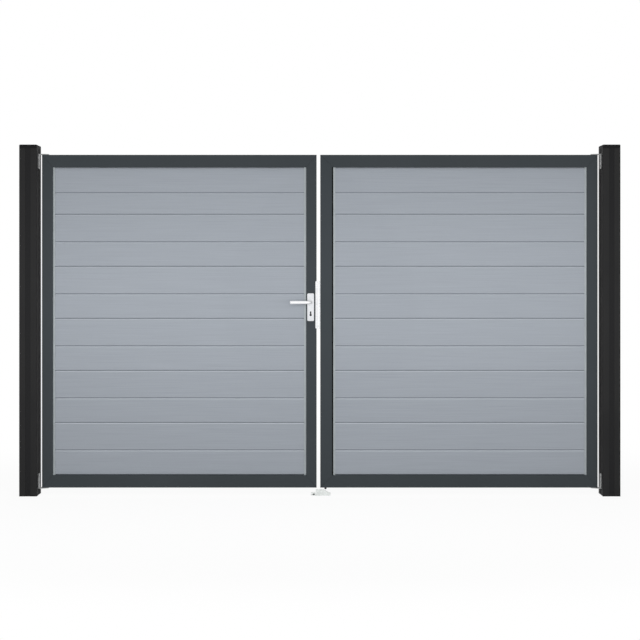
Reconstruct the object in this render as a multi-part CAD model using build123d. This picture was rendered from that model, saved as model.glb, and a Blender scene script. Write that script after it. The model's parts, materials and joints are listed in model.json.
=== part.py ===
from build123d import *
import os

# A double swing gate between two square posts, in millimetres.
# +X runs along the gate from the left post, +Y away from the viewer, +Z up.
# The origin is the middle of the left post's foot, at ground level.

# Posts and their caps
POST_SIDE = 95.0
POST_WALL = 3.5
POST_CORNER = 3.0
POST_BAND_WIDTH = 28.0
POST_BAND_DEPTH = 1.2
POST_ABOVE_LEAF = 53.0
CAP_HEIGHT = 20.0
CAP_WALL = 3.0
CAP_ROUNDING = 5.0
CAP_PLUG_LENGTH = 18.0
CAP_PLUG_CLEARANCE = 0.3

# Leaves
LEFT_LEAF_WIDTH = 1485.0
RIGHT_LEAF_WIDTH = 1500.0
LEAF_HEIGHT = 1800.0
LEAF_DEPTH = 40.0
GROUND_CLEARANCE = 42.0
MEETING_GAP = 20.0
HINGE_GAP = 21.5
HINGE_STILE_WIDTH = 58.0
LOCK_STILE_WIDTH = 56.0
MEETING_STILE_WIDTH = 70.0
SHADOW_LINE_WIDTH = 7.0
SHADOW_LINE_DEPTH = 8.0
RAIL_HEIGHT = 67.0
FRAME_WALL = 2.5
FRAME_CORNER = 1.5

# Boards and the channels that hold their ends
BOARD_THICKNESS = 20.0
BOARD_WALL = 1.6
BOARD_LOWER_FACE = 133.0
BOARD_UPPER_FACE = 149.0
TOP_BOARD_LOWER_FACE = 117.0
TOP_BOARD_LEAST_UPPER_FACE = 60.0
GROOVE_BEVEL = 5.0
GROOVE_DEPTH = 3.5
TONGUE_WIDTH = 7.0
TONGUE_HEIGHT = 6.0
TONGUE_CLEARANCE = 0.4
BOARD_JOINT_GAP = 0.3
BOARD_END_GAP = 1.0
CHANNEL_DEPTH = 12.0
CHANNEL_WALL = 2.0
CHANNEL_CLEARANCE = 0.3

# Pivot hinges
PIVOT_INSET = 20.0
PIN_DIAMETER = 12.0
PIN_LENGTH = 24.0
PIN_CLEARANCE = 0.05
BRACKET_THICKNESS = 4.0
BRACKET_HEIGHT = 80.0
BRACKET_WIDTH = 30.0
BRACKET_FORWARD = 9.0
BRACKET_CORNER = 6.0
BRACKET_BEND = 5.0
ARM_END_RADIUS = 14.0
ARM_CLEARANCE = 1.2
BUSH_DIAMETER = 20.0
BUSH_LENGTH = 26.0
BUSH_FLANGE_DIAMETER = 28.0
BUSH_SEAT_CLEARANCE = 0.05
BUSH_RUNNING_GAP = 0.3

# Lever handles and keyhole on the lock stile
HANDLE_BACKSET = 32.0
SPINDLE_HEIGHT = 1045.0
PLATE_WIDTH = 37.0
PLATE_HEIGHT = 150.0
PLATE_THICKNESS = 9.0
PLATE_BELOW_SPINDLE = 102.0
PLATE_CORNER = 7.0
PLATE_EDGE = 2.0
LEVER_DIAMETER = 18.0
LEVER_REACH = 111.0
LEVER_STAND_OFF = 52.0
LEVER_BEND = 20.0
LEVER_TIP_ROUNDING = 5.0
LEVER_CLEARANCE = 0.3
SPINDLE_SIDE = 8.0
SPINDLE_CLEARANCE = 0.1
SPINDLE_GRIP = 22.0
SPINDLE_HOLE = 14.0
KEYHOLE_BELOW_SPINDLE = 69.0
KEYHOLE_DIAMETER = 12.0
KEYHOLE_SLOT_WIDTH = 7.0
KEYHOLE_SLOT_RISE = 19.0
KEYHOLE_RECESS = 3.0
KEYHOLE_CLEARANCE = 0.2

# Lock edge: forend on the left leaf, keep on the right leaf
FOREND_HEIGHT = 256.0
FOREND_BELOW_SPINDLE = 142.0
FOREND_REACH = 8.0
FOREND_WRAP = 6.0
FOREND_FLANGE = 2.0
FOREND_CORNER = 4.0
KEEP_THICKNESS = 6.0
KEEP_CORNER = 4.0
BOLT_WIDTH = 14.0
BOLT_LENGTH = 26.0
BOLT_CLEARANCE = 0.3
LATCH_HEIGHT = 20.0
LATCH_BEVEL = 6.0
DEAD_BOLT_HEIGHT = 34.0

# Drop bolt on the back of the right leaf, and the ground stop
ROD_DIAMETER = 12.0
ROD_INSET = 28.4
ROD_STAND_OFF = 9.0
ROD_END_HEIGHT = 25.0
ROD_LENGTH = 540.0
ROD_BEND = 20.0
ROD_HANDLE = 62.0
ROD_TIP_CHAMFER = 2.0
ROD_CLEARANCE = 0.08
GUIDE_WIDTH = 52.0
GUIDE_HEIGHT = 32.0
GUIDE_BASE = 4.0
GUIDE_EYE_WALL = 4.5
LOWER_GUIDE_HEIGHT = 75.0
UPPER_GUIDE_HEIGHT = 420.0
STOP_LEFT_OF_LOCK_EDGE = 4.5
STOP_WIDTH = 80.0
STOP_HEIGHT = 34.0
STOP_TOP_WIDTH = 42.0
STOP_LIP_DEPTH = 5.0
STOP_BACK_HEIGHT = 12.0
STOP_UPRIGHT_WIDTH = 20.0
STOP_UPRIGHT_STEP = 2.0
STOP_FRONT = 27.0
STOP_DEPTH = 42.0
STOP_BASE_THICKNESS = 4.0
STOP_TAB = 26.0
STOP_TAB_ROUNDING = 8.0
SOCKET_WIDTH = 16.0
SOCKET_DEPTH = 20.0
SOCKET_RIM = 10.0

# Places along the gate that follow from the sizes above
LEFT_EDGE = POST_SIDE / 2 + HINGE_GAP
LOCK_EDGE = LEFT_EDGE + LEFT_LEAF_WIDTH
MEET_EDGE = LOCK_EDGE + MEETING_GAP
RIGHT_EDGE = MEET_EDGE + RIGHT_LEAF_WIDTH
RIGHT_POST_X = RIGHT_EDGE + HINGE_GAP + POST_SIDE / 2
LEAF_BOTTOM = GROUND_CLEARANCE
LEAF_TOP = LEAF_BOTTOM + LEAF_HEIGHT
POST_TOP = LEAF_TOP + POST_ABOVE_LEAF
PANEL_BOTTOM = LEAF_BOTTOM + RAIL_HEIGHT
PANEL_TOP = LEAF_TOP - RAIL_HEIGHT
FACE_Y = LEAF_DEPTH / 2
HANDLE_X = LOCK_EDGE - HANDLE_BACKSET
LATCH_Z = SPINDLE_HEIGHT
DEAD_BOLT_Z = SPINDLE_HEIGHT - KEYHOLE_BELOW_SPINDLE
FOREND_Z = SPINDLE_HEIGHT - FOREND_BELOW_SPINDLE + FOREND_HEIGHT / 2
ROD_X = MEET_EDGE + ROD_INSET
ROD_Y = FACE_Y + ROD_STAND_OFF


def block(x, y, z):
    """A box between the two limits given for each axis."""
    size = [high - low for low, high in (x, y, z)]
    middle = [(high + low) / 2 for low, high in (x, y, z)]
    return Pos(*middle) * Box(*size)


def prism_y(points, y_low, y_high):
    """An outline of (x, z) points, extruded from y_low to y_high."""
    outline = Plane.XZ * make_face(Polyline(*points, close=True))
    return Pos(0, y_high, 0) * extrude(outline, y_high - y_low)


def post(x):
    """A hollow square post with a shallow band along each side, open at its foot and under its cap."""
    inside = POST_SIDE - 2 * POST_WALL
    section = RectangleRounded(POST_SIDE, POST_SIDE, POST_CORNER) - Rectangle(inside, inside)
    band = Pos(POST_SIDE / 2, 0) * Rectangle(2 * POST_BAND_DEPTH, POST_BAND_WIDTH)
    for quarter in range(4):
        section -= Rot(0, 0, 90 * quarter) * band
    return Pos(x, 0, 0) * extrude(section, POST_TOP - CAP_HEIGHT)


def post_cap(x):
    """A flat cap, flush with the post, with a plug that fits inside the post."""
    rim = extrude(RectangleRounded(POST_SIDE, POST_SIDE, POST_CORNER), CAP_HEIGHT)
    rim = fillet(rim.faces().sort_by(Axis.Z)[-1].edges(), CAP_ROUNDING)
    plug_side = POST_SIDE - 2 * (POST_WALL + CAP_PLUG_CLEARANCE)
    cavity_side = plug_side - 2 * CAP_WALL
    plug = Pos(0, 0, -CAP_PLUG_LENGTH) * extrude(Rectangle(plug_side, plug_side), CAP_PLUG_LENGTH)
    cavity_height = CAP_PLUG_LENGTH + CAP_HEIGHT - CAP_WALL
    cavity = Pos(0, 0, -CAP_PLUG_LENGTH) * extrude(Rectangle(cavity_side, cavity_side), cavity_height)
    return Pos(x, 0, POST_TOP - CAP_HEIGHT) * (rim + plug - cavity)


def hinge_bracket(post_x, side, at_top):
    """A bent bracket on the post's inner face, with an arm past the leaf's end and a fixed pivot pin.

    It is drawn for the left post with its arm above the leaf, in a frame whose origin lies on the post's
    inner face level with the leaf's end, and is then mirrored and moved to its place.
    """
    arm_low = ARM_CLEARANCE
    arm_high = ARM_CLEARANCE + BRACKET_THICKNESS
    pin_x = HINGE_GAP + PIVOT_INSET
    half = BRACKET_WIDTH / 2
    across = (-half - BRACKET_FORWARD, half - BRACKET_FORWARD)
    plate = block((0, BRACKET_THICKNESS), across, (arm_high - BRACKET_HEIGHT, arm_high))
    lower_corners = plate.edges().filter_by(Axis.X).sort_by(Axis.Z)[:2]
    plate = fillet(lower_corners, BRACKET_CORNER)
    arm_outline = make_hull(
        (Pos(half / 2, -BRACKET_FORWARD) * Rectangle(half, BRACKET_WIDTH)).edges()
        + (Pos(pin_x, 0) * Circle(ARM_END_RADIUS)).edges()
    )
    arm = Pos(0, 0, arm_low) * extrude(arm_outline, BRACKET_THICKNESS)
    bent = plate + arm
    inner_bend = [
        edge
        for edge in bent.edges().filter_by(Axis.Y)
        if abs(edge.center().X - BRACKET_THICKNESS) < 0.01 and abs(edge.center().Z - arm_low) < 0.01
    ]
    bent = fillet(inner_bend, BRACKET_BEND)
    pin_end = arm_low - ARM_CLEARANCE - PIN_LENGTH
    pin = Pos(pin_x, 0, pin_end) * extrude(Circle(PIN_DIAMETER / 2), arm_low - pin_end)
    bracket = Pos(POST_SIDE / 2, 0, 0) * (bent + pin)
    if side == "right":
        bracket = mirror(bracket, about=Plane.YZ)
    if not at_top:
        bracket = mirror(bracket, about=Plane.XY)
    return Pos(post_x, 0, LEAF_TOP if at_top else LEAF_BOTTOM) * bracket


def pivot_bush(x, at_top):
    """A flanged bush in the end of a leaf, around the pivot pin."""
    flange_thickness = ARM_CLEARANCE - BUSH_RUNNING_GAP
    sleeve = extrude(Circle(BUSH_DIAMETER / 2), -BUSH_LENGTH)
    flange = extrude(Circle(BUSH_FLANGE_DIAMETER / 2), flange_thickness)
    bore = Pos(0, 0, -BUSH_LENGTH) * extrude(
        Circle(PIN_DIAMETER / 2 + PIN_CLEARANCE), BUSH_LENGTH + flange_thickness
    )
    bush = sleeve + flange - bore
    if not at_top:
        bush = Rot(180, 0, 0) * bush
    return Pos(x, 0, LEAF_TOP if at_top else LEAF_BOTTOM) * bush


def leaf_frame(x_low, x_high, left_width, right_width, pivot_x):
    """Four hollow box sections with mitred corners: left stile, right stile, top rail and bottom rail."""
    inner_low = x_low + left_width
    inner_high = x_high - right_width
    low_left, low_right = (inner_low, PANEL_BOTTOM), (inner_high, PANEL_BOTTOM)
    high_left, high_right = (inner_low, PANEL_TOP), (inner_high, PANEL_TOP)
    corners = {
        "left": [(x_low, LEAF_BOTTOM), low_left, high_left, (x_low, LEAF_TOP)],
        "right": [(x_high, LEAF_BOTTOM), low_right, high_right, (x_high, LEAF_TOP)],
        "top": [(x_low, LEAF_TOP), high_left, high_right, (x_high, LEAF_TOP)],
        "bottom": [(x_low, LEAF_BOTTOM), low_left, low_right, (x_high, LEAF_BOTTOM)],
    }
    members = {
        "left": upright_section((x_low + inner_low) / 2, left_width),
        "right": upright_section((x_high + inner_high) / 2, right_width),
        "top": level_section(x_low, x_high, LEAF_TOP - RAIL_HEIGHT / 2),
        "bottom": level_section(x_low, x_high, LEAF_BOTTOM + RAIL_HEIGHT / 2),
    }
    bush_hole = Pos(pivot_x, 0, LEAF_BOTTOM) * Cylinder(
        BUSH_DIAMETER / 2 + BUSH_SEAT_CLEARANCE, LEAF_HEIGHT, align=(Align.CENTER, Align.CENTER, Align.MIN)
    )
    return {
        place: member & prism_y(corners[place], -FACE_Y, FACE_Y) - bush_hole
        for place, member in members.items()
    }


def box_section(width):
    """The section of a hollow frame member, as wide as given and as deep as the leaf."""
    outside = RectangleRounded(width, LEAF_DEPTH, FRAME_CORNER)
    return outside - Rectangle(width - 2 * FRAME_WALL, LEAF_DEPTH - 2 * FRAME_WALL)


def upright_section(x_middle, width):
    """A stile's section over the whole height of the leaf."""
    return Pos(x_middle, 0, LEAF_BOTTOM) * extrude(box_section(width), LEAF_HEIGHT)


def level_section(x_low, x_high, z_middle):
    """A rail's section over the whole width of the leaf."""
    along = Plane(origin=(x_low, 0, z_middle), x_dir=(0, 0, 1), z_dir=(1, 0, 0))
    return extrude(along * box_section(RAIL_HEIGHT), x_high - x_low)


def edge_channels(x_low, x_high):
    """The two upright U-channels between which the boards sit, open towards each other."""
    inside = BOARD_THICKNESS / 2 + CHANNEL_CLEARANCE
    outside = inside + CHANNEL_WALL
    upright = (PANEL_BOTTOM, PANEL_TOP)
    left = block((x_low, x_low + CHANNEL_DEPTH), (-outside, outside), upright) - block(
        (x_low + CHANNEL_WALL, x_low + CHANNEL_DEPTH), (-inside, inside), upright
    )
    right = block((x_high - CHANNEL_DEPTH, x_high), (-outside, outside), upright) - block(
        (x_high - CHANNEL_DEPTH, x_high - CHANNEL_WALL), (-inside, inside), upright
    )
    return Compound(children=[left, right])


def board(x_low, x_high, z_low, lower_face, upper_face, tongue, groove):
    """A hollow board with two faces, a V-groove between them, and bevelled edges.

    The top edge has a tongue and the bottom edge a groove, where another board meets it.
    """
    half = BOARD_THICKNESS / 2
    root = half - GROOVE_DEPTH
    height = lower_face + upper_face
    front = [
        (root, 0),
        (half, GROOVE_BEVEL),
        (half, lower_face - GROOVE_BEVEL),
        (root, lower_face),
        (half, lower_face + GROOVE_BEVEL),
        (half, height - GROOVE_BEVEL),
        (root, height),
    ]
    back = [(-y, z) for y, z in reversed(front)]
    outline = make_face(Polyline(*front, *back, close=True))
    if tongue:
        outline += Pos(0, height + TONGUE_HEIGHT / 2) * Rectangle(TONGUE_WIDTH, TONGUE_HEIGHT)
    if groove:
        slot_depth = TONGUE_HEIGHT + TONGUE_CLEARANCE
        slot = Rectangle(TONGUE_WIDTH + 2 * TONGUE_CLEARANCE, 2 * slot_depth)
        outline -= slot
    chamber = offset(outline, -BOARD_WALL, kind=Kind.INTERSECTION)
    for web in (lower_face / 2, lower_face, lower_face + upper_face / 2):
        chamber -= Pos(0, web) * Rectangle(BOARD_THICKNESS, BOARD_WALL)
    along = Plane(origin=(x_low, 0, z_low), x_dir=(0, 1, 0), z_dir=(1, 0, 0))
    return extrude(along * (outline - chamber), x_high - x_low)


def boards(x_low, x_high):
    """The stack of boards between two channels, from the bottom rail to the top rail."""
    end = CHANNEL_WALL + BOARD_END_GAP
    pitch = BOARD_LOWER_FACE + BOARD_UPPER_FACE
    least_top_board = TOP_BOARD_LOWER_FACE + TOP_BOARD_LEAST_UPPER_FACE
    full_boards = int((PANEL_TOP - PANEL_BOTTOM - least_top_board) // pitch)
    stack = []
    for row in range(full_boards):
        z_low = PANEL_BOTTOM + row * pitch
        upper = BOARD_UPPER_FACE - BOARD_JOINT_GAP
        stack.append(board(x_low + end, x_high - end, z_low, BOARD_LOWER_FACE, upper, True, row > 0))
    z_low = PANEL_BOTTOM + full_boards * pitch
    upper = PANEL_TOP - z_low - TOP_BOARD_LOWER_FACE
    stack.append(board(x_low + end, x_high - end, z_low, TOP_BOARD_LOWER_FACE, upper, False, True))
    return stack


def keyhole_outline(grow):
    """A keyhole with its round end at the bottom, in (x, z), enlarged all round by grow."""
    radius = KEYHOLE_DIAMETER / 2 + grow
    width = KEYHOLE_SLOT_WIDTH + 2 * grow
    rise = KEYHOLE_SLOT_RISE + grow
    return Circle(radius) + Pos(0, rise / 2) * Rectangle(width, rise)


def along_depth(outline, y_low, y_high):
    """An (x, z) outline at the handle's place, extruded from y_low to y_high."""
    face = Plane(origin=(HANDLE_X, y_high, 0), x_dir=(1, 0, 0), z_dir=(0, -1, 0)) * outline
    return extrude(face, y_high - y_low)


def keyhole(grow, y_low, y_high):
    """The keyhole's solid at its place in the lock stile."""
    return along_depth(Pos(0, DEAD_BOLT_Z) * keyhole_outline(grow), y_low, y_high)


def handle_plate(side):
    """A handle plate on the front (side -1) or back (side 1) of the lock stile."""
    near = FACE_Y
    far = FACE_Y + PLATE_THICKNESS
    z_middle = SPINDLE_HEIGHT - PLATE_BELOW_SPINDLE + PLATE_HEIGHT / 2
    outline = Pos(0, z_middle) * RectangleRounded(PLATE_WIDTH, PLATE_HEIGHT, PLATE_CORNER)
    y_low, y_high = sorted((side * near, side * far))
    plate = along_depth(outline, y_low, y_high)
    outer_face = plate.faces().sort_by(Axis.Y)[0 if side < 0 else -1]
    plate = fillet(outer_face.edges(), PLATE_EDGE)
    neck_hole = Pos(0, SPINDLE_HEIGHT) * Circle(LEVER_DIAMETER / 2 + LEVER_CLEARANCE)
    return plate - along_depth(neck_hole, -far, far) - keyhole(KEYHOLE_CLEARANCE, -far, far)


def lever(side):
    """A round lever that leaves its plate, bends and runs back towards the hinges."""
    start = FACE_Y + LEVER_CLEARANCE
    out = FACE_Y + LEVER_STAND_OFF
    path = FilletPolyline(
        (HANDLE_X, side * start, SPINDLE_HEIGHT),
        (HANDLE_X, side * out, SPINDLE_HEIGHT),
        (HANDLE_X - LEVER_REACH, side * out, SPINDLE_HEIGHT),
        radius=LEVER_BEND,
    )
    section = Plane(origin=path @ 0, z_dir=path % 0) * Circle(LEVER_DIAMETER / 2)
    bar = sweep(section, path=path)
    bar = fillet(bar.faces().sort_by(Axis.X)[0].edges(), LEVER_TIP_ROUNDING)
    socket_side = SPINDLE_SIDE + SPINDLE_CLEARANCE
    socket = along_depth(
        Pos(0, SPINDLE_HEIGHT) * Rectangle(socket_side, socket_side),
        *sorted((0, side * (start + SPINDLE_GRIP))),
    )
    return bar - socket


def spindle():
    """The square bar that joins the two levers through the lock stile."""
    reach = FACE_Y + SPINDLE_GRIP
    return along_depth(Pos(0, SPINDLE_HEIGHT) * Rectangle(SPINDLE_SIDE, SPINDLE_SIDE), -reach, reach)


def bolt_opening(x_low, x_high, z, height, clearance):
    """The space of a lock bolt, as a box that passes through the meeting edge."""
    half = BOLT_WIDTH / 2 + clearance
    rise = height / 2 + clearance
    return block((x_low, x_high), (-half, half), (z - rise, z + rise))


def bolt_openings(x_low, x_high, clearance):
    """The spaces of the latch bolt and the dead bolt."""
    return bolt_opening(x_low, x_high, LATCH_Z, LATCH_HEIGHT, clearance) + bolt_opening(
        x_low, x_high, DEAD_BOLT_Z, DEAD_BOLT_HEIGHT, clearance
    )


def lock_forend():
    """A channel-shaped cover on the lock stile's meeting edge, with openings for the bolts."""
    upright = (FOREND_Z - FOREND_HEIGHT / 2, FOREND_Z + FOREND_HEIGHT / 2)
    outside = FACE_Y + FOREND_FLANGE
    cover = block((LOCK_EDGE - FOREND_WRAP, LOCK_EDGE + FOREND_REACH), (-outside, outside), upright)
    cover = fillet(cover.edges().filter_by(Axis.Y), FOREND_CORNER)
    cover -= block((LOCK_EDGE - FOREND_WRAP, LOCK_EDGE), (-FACE_Y, FACE_Y), upright)
    return cover - bolt_openings(LOCK_EDGE, LOCK_EDGE + FOREND_REACH, BOLT_CLEARANCE)


def lock_bolts():
    """The bevelled latch bolt and the square dead bolt, drawn back flush with the forend."""
    end = LOCK_EDGE + FOREND_REACH
    latch = bolt_opening(end - BOLT_LENGTH, end, LATCH_Z, LATCH_HEIGHT, 0)
    nose = latch.edges().filter_by(Axis.Z).group_by(Axis.X)[-1].sort_by(Axis.Y)[-1]
    latch = chamfer(nose, LATCH_BEVEL)
    dead_bolt = bolt_opening(end - BOLT_LENGTH, end, DEAD_BOLT_Z, DEAD_BOLT_HEIGHT, 0)
    return Compound(children=[latch, dead_bolt])


def keep():
    """The flat keep strip on the right leaf's meeting edge, with openings that face the bolts."""
    upright = (FOREND_Z - FOREND_HEIGHT / 2, FOREND_Z + FOREND_HEIGHT / 2)
    strip = block((MEET_EDGE - KEEP_THICKNESS, MEET_EDGE), (-FACE_Y, FACE_Y), upright)
    strip = fillet(strip.edges().filter_by(Axis.X), KEEP_CORNER)
    return strip - bolt_openings(MEET_EDGE - KEEP_THICKNESS, MEET_EDGE, BOLT_CLEARANCE)


def drop_rod():
    """The drop bolt's rod, bent over at its top for a handle."""
    path = FilletPolyline(
        (ROD_X, ROD_Y, ROD_END_HEIGHT),
        (ROD_X, ROD_Y, ROD_END_HEIGHT + ROD_LENGTH),
        (ROD_X, ROD_Y + ROD_HANDLE, ROD_END_HEIGHT + ROD_LENGTH),
        radius=ROD_BEND,
    )
    section = Plane(origin=path @ 0, z_dir=path % 0) * Circle(ROD_DIAMETER / 2)
    rod = sweep(section, path=path)
    rod = chamfer(rod.faces().sort_by(Axis.Z)[0].edges(), ROD_TIP_CHAMFER)
    return chamfer(rod.faces().sort_by(Axis.Y)[-1].edges(), ROD_TIP_CHAMFER)


def drop_bolt_guides():
    """Two guides on the back of the meeting stile, each a flat foot with an eye around the rod."""
    hole_radius = ROD_DIAMETER / 2 + ROD_CLEARANCE
    eye_radius = hole_radius + GUIDE_EYE_WALL
    foot = Pos(ROD_X, FACE_Y + GUIDE_BASE / 2) * Rectangle(GUIDE_WIDTH, GUIDE_BASE)
    neck = Pos(ROD_X, (FACE_Y + ROD_Y) / 2) * Rectangle(2 * eye_radius, ROD_STAND_OFF)
    eye = Pos(ROD_X, ROD_Y) * Circle(eye_radius)
    behind_stile = Pos(ROD_X, FACE_Y + GUIDE_WIDTH / 2) * Rectangle(GUIDE_WIDTH, GUIDE_WIDTH)
    section = (foot + neck + eye & behind_stile) - Pos(ROD_X, ROD_Y) * Circle(hole_radius)
    guides = []
    for height in (LOWER_GUIDE_HEIGHT, UPPER_GUIDE_HEIGHT):
        guides.append(Pos(0, 0, height - GUIDE_HEIGHT / 2) * extrude(section, GUIDE_HEIGHT))
    return Compound(children=guides)


def shadow_lined(stile):
    """The meeting stile with a rebate along its inner edge, front and back, between the two rails."""
    inner = MEET_EDGE + MEETING_STILE_WIDTH
    upright = (PANEL_BOTTOM, PANEL_TOP)
    edge = (inner - SHADOW_LINE_WIDTH, inner)
    stile += block((edge[0] - FRAME_WALL, inner), (-FACE_Y, FACE_Y), upright)
    for y in ((-FACE_Y, SHADOW_LINE_DEPTH - FACE_Y), (FACE_Y - SHADOW_LINE_DEPTH, FACE_Y)):
        stile -= block(edge, y, upright)
    return stile


def ground_stop():
    """A cast stop under the meeting edges: a wedge with an upright, and a foot with the rod's socket."""
    x_low = LOCK_EDGE - STOP_LEFT_OF_LOCK_EDGE
    x_high = x_low + STOP_WIDTH
    y_front = -STOP_FRONT
    wedge = prism_y(
        [
            (x_low, 0),
            (x_low, STOP_HEIGHT),
            (x_low + STOP_TOP_WIDTH, STOP_HEIGHT),
            (x_high, STOP_BASE_THICKNESS),
            (x_high, 0),
        ],
        y_front,
        y_front + STOP_DEPTH,
    )
    upright = block(
        (x_low, x_low + STOP_UPRIGHT_WIDTH),
        (y_front - STOP_UPRIGHT_STEP, y_front),
        (0, STOP_HEIGHT),
    )
    y_back = y_front + STOP_DEPTH
    back_slope = make_face(
        Polyline(
            (y_front + STOP_LIP_DEPTH, STOP_HEIGHT),
            (y_back, STOP_HEIGHT),
            (y_back, STOP_BACK_HEIGHT),
            close=True,
        )
    )
    wedge -= Pos(x_low, 0, 0) * extrude(Plane.YZ * back_slope, STOP_WIDTH)
    foot_back = ROD_Y + SOCKET_DEPTH / 2 + SOCKET_RIM
    foot = block((x_low - STOP_TAB, x_high), (y_front, foot_back), (0, STOP_BASE_THICKNESS))
    foot = fillet(foot.edges().filter_by(Axis.Z), STOP_TAB_ROUNDING)
    socket = block(
        (ROD_X - SOCKET_WIDTH / 2, ROD_X + SOCKET_WIDTH / 2),
        (ROD_Y - SOCKET_DEPTH / 2, ROD_Y + SOCKET_DEPTH / 2),
        (0, STOP_BASE_THICKNESS),
    )
    return wedge + upright + foot - socket


def lock_stile_cuts():
    """What the lock stile loses to the lock: spindle hole, keyhole and bolt openings."""
    spindle_hole = along_depth(Pos(0, SPINDLE_HEIGHT) * Circle(SPINDLE_HOLE / 2), -FACE_Y, FACE_Y)
    openings = bolt_openings(LOCK_EDGE - FRAME_WALL, LOCK_EDGE, BOLT_CLEARANCE)
    return spindle_hole + keyhole(KEYHOLE_CLEARANCE, -FACE_Y, FACE_Y) + openings


def build():
    """Every piece of the gate, by name."""
    left_pivot = LEFT_EDGE + PIVOT_INSET
    right_pivot = RIGHT_EDGE - PIVOT_INSET
    pieces = {
        "left_post": post(0),
        "right_post": post(RIGHT_POST_X),
        "left_post_cap": post_cap(0),
        "right_post_cap": post_cap(RIGHT_POST_X),
        "ground_stop": ground_stop(),
    }
    for side, post_x in (("left", 0), ("right", RIGHT_POST_X)):
        for end in ("top", "bottom"):
            pieces[f"{side}_{end}_hinge_bracket"] = hinge_bracket(post_x, side, end == "top")
    left_frame = leaf_frame(LEFT_EDGE, LOCK_EDGE, HINGE_STILE_WIDTH, LOCK_STILE_WIDTH, left_pivot)
    right_frame = leaf_frame(MEET_EDGE, RIGHT_EDGE, MEETING_STILE_WIDTH, HINGE_STILE_WIDTH, right_pivot)
    pieces["left_hinge_stile"] = left_frame["left"]
    pieces["left_lock_stile"] = left_frame["right"] - lock_stile_cuts()
    pieces["right_meeting_stile"] = shadow_lined(right_frame["left"])
    pieces["right_hinge_stile"] = right_frame["right"]
    panels = {
        "left": (left_frame, left_pivot, LEFT_EDGE + HINGE_STILE_WIDTH, LOCK_EDGE - LOCK_STILE_WIDTH),
        "right": (right_frame, right_pivot, MEET_EDGE + MEETING_STILE_WIDTH, RIGHT_EDGE - HINGE_STILE_WIDTH),
    }
    for side, (frame, pivot_x, x_low, x_high) in panels.items():
        pieces[f"{side}_top_rail"] = frame["top"]
        pieces[f"{side}_bottom_rail"] = frame["bottom"]
        pieces[f"{side}_edge_channels"] = edge_channels(x_low, x_high)
        bushes = [pivot_bush(pivot_x, at_top) for at_top in (True, False)]
        pieces[f"{side}_pivot_bushes"] = Compound(children=bushes)
        for row, piece in enumerate(boards(x_low, x_high), start=1):
            pieces[f"{side}_board_{row}"] = piece
    for name, side in (("front", -1), ("back", 1)):
        pieces[f"{name}_handle_plate"] = handle_plate(side)
        pieces[f"{name}_lever"] = lever(side)
    key_end = FACE_Y + PLATE_THICKNESS - KEYHOLE_RECESS
    pieces["handle_spindle"] = spindle()
    pieces["lock_cylinder"] = keyhole(0, -key_end, key_end)
    pieces["lock_forend"] = lock_forend()
    pieces["lock_bolts"] = lock_bolts()
    pieces["lock_keep"] = keep()
    pieces["drop_rod"] = drop_rod()
    pieces["drop_bolt_guides"] = drop_bolt_guides()
    return pieces


os.makedirs("parts", exist_ok=True)
for name, piece in build().items():
    export_step(piece, f"parts/{name}.step")
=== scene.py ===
# %% [markdown]
# # A double swing gate
# The gate's solids are already made: two posts, two framed leaves, a lock, a drop bolt and a ground stop.
# This script dresses them. It gives every piece a procedural finish and adds the small fittings that a
# gate maker would screw on last. Everything is in metres, in the solids' own frame: the left post's foot
# is the origin, X runs along the gate, Y points away from the viewer and Z is up.

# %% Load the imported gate
import json
import math

import bmesh
import bpy
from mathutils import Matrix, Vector


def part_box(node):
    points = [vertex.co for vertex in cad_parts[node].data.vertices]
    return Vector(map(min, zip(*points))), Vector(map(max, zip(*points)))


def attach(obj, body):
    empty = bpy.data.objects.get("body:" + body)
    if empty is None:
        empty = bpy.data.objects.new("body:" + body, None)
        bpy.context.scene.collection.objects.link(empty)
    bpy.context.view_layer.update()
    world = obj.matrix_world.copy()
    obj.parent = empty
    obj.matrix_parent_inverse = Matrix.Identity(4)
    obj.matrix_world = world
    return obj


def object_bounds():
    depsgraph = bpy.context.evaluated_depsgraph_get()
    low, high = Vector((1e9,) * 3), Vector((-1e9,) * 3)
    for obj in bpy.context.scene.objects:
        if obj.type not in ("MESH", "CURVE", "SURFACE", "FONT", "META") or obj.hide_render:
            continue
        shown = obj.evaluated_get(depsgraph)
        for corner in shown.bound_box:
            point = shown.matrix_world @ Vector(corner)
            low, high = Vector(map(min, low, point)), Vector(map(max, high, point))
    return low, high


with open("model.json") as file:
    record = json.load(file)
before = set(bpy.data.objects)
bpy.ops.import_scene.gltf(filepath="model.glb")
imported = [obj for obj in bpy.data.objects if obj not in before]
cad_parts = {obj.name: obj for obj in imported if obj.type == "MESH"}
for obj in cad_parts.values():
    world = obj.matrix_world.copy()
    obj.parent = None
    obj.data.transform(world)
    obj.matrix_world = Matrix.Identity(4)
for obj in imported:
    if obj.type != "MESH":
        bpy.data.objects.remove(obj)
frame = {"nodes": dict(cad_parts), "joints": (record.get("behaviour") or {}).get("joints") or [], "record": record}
cad_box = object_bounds()
scene = bpy.context.scene
pivots = {joint["name"]: joint.get("pos_m") for joint in frame["joints"]}

# %% [markdown]
# ## Writing nodes as Python
# Node trees can be linked by hand in the editor, or built one `nodes.new` call at a time, which soon
# fills a page. Two small classes keep it readable. A `Wire` is one output socket, and sums on wires add
# Math nodes, so `1 - mask` means what it says. `Nodes` has one method that adds any other node: its type,
# its settings first, because they can change which sockets it has, and then its sockets.

# %% Wires and nodes


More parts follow.
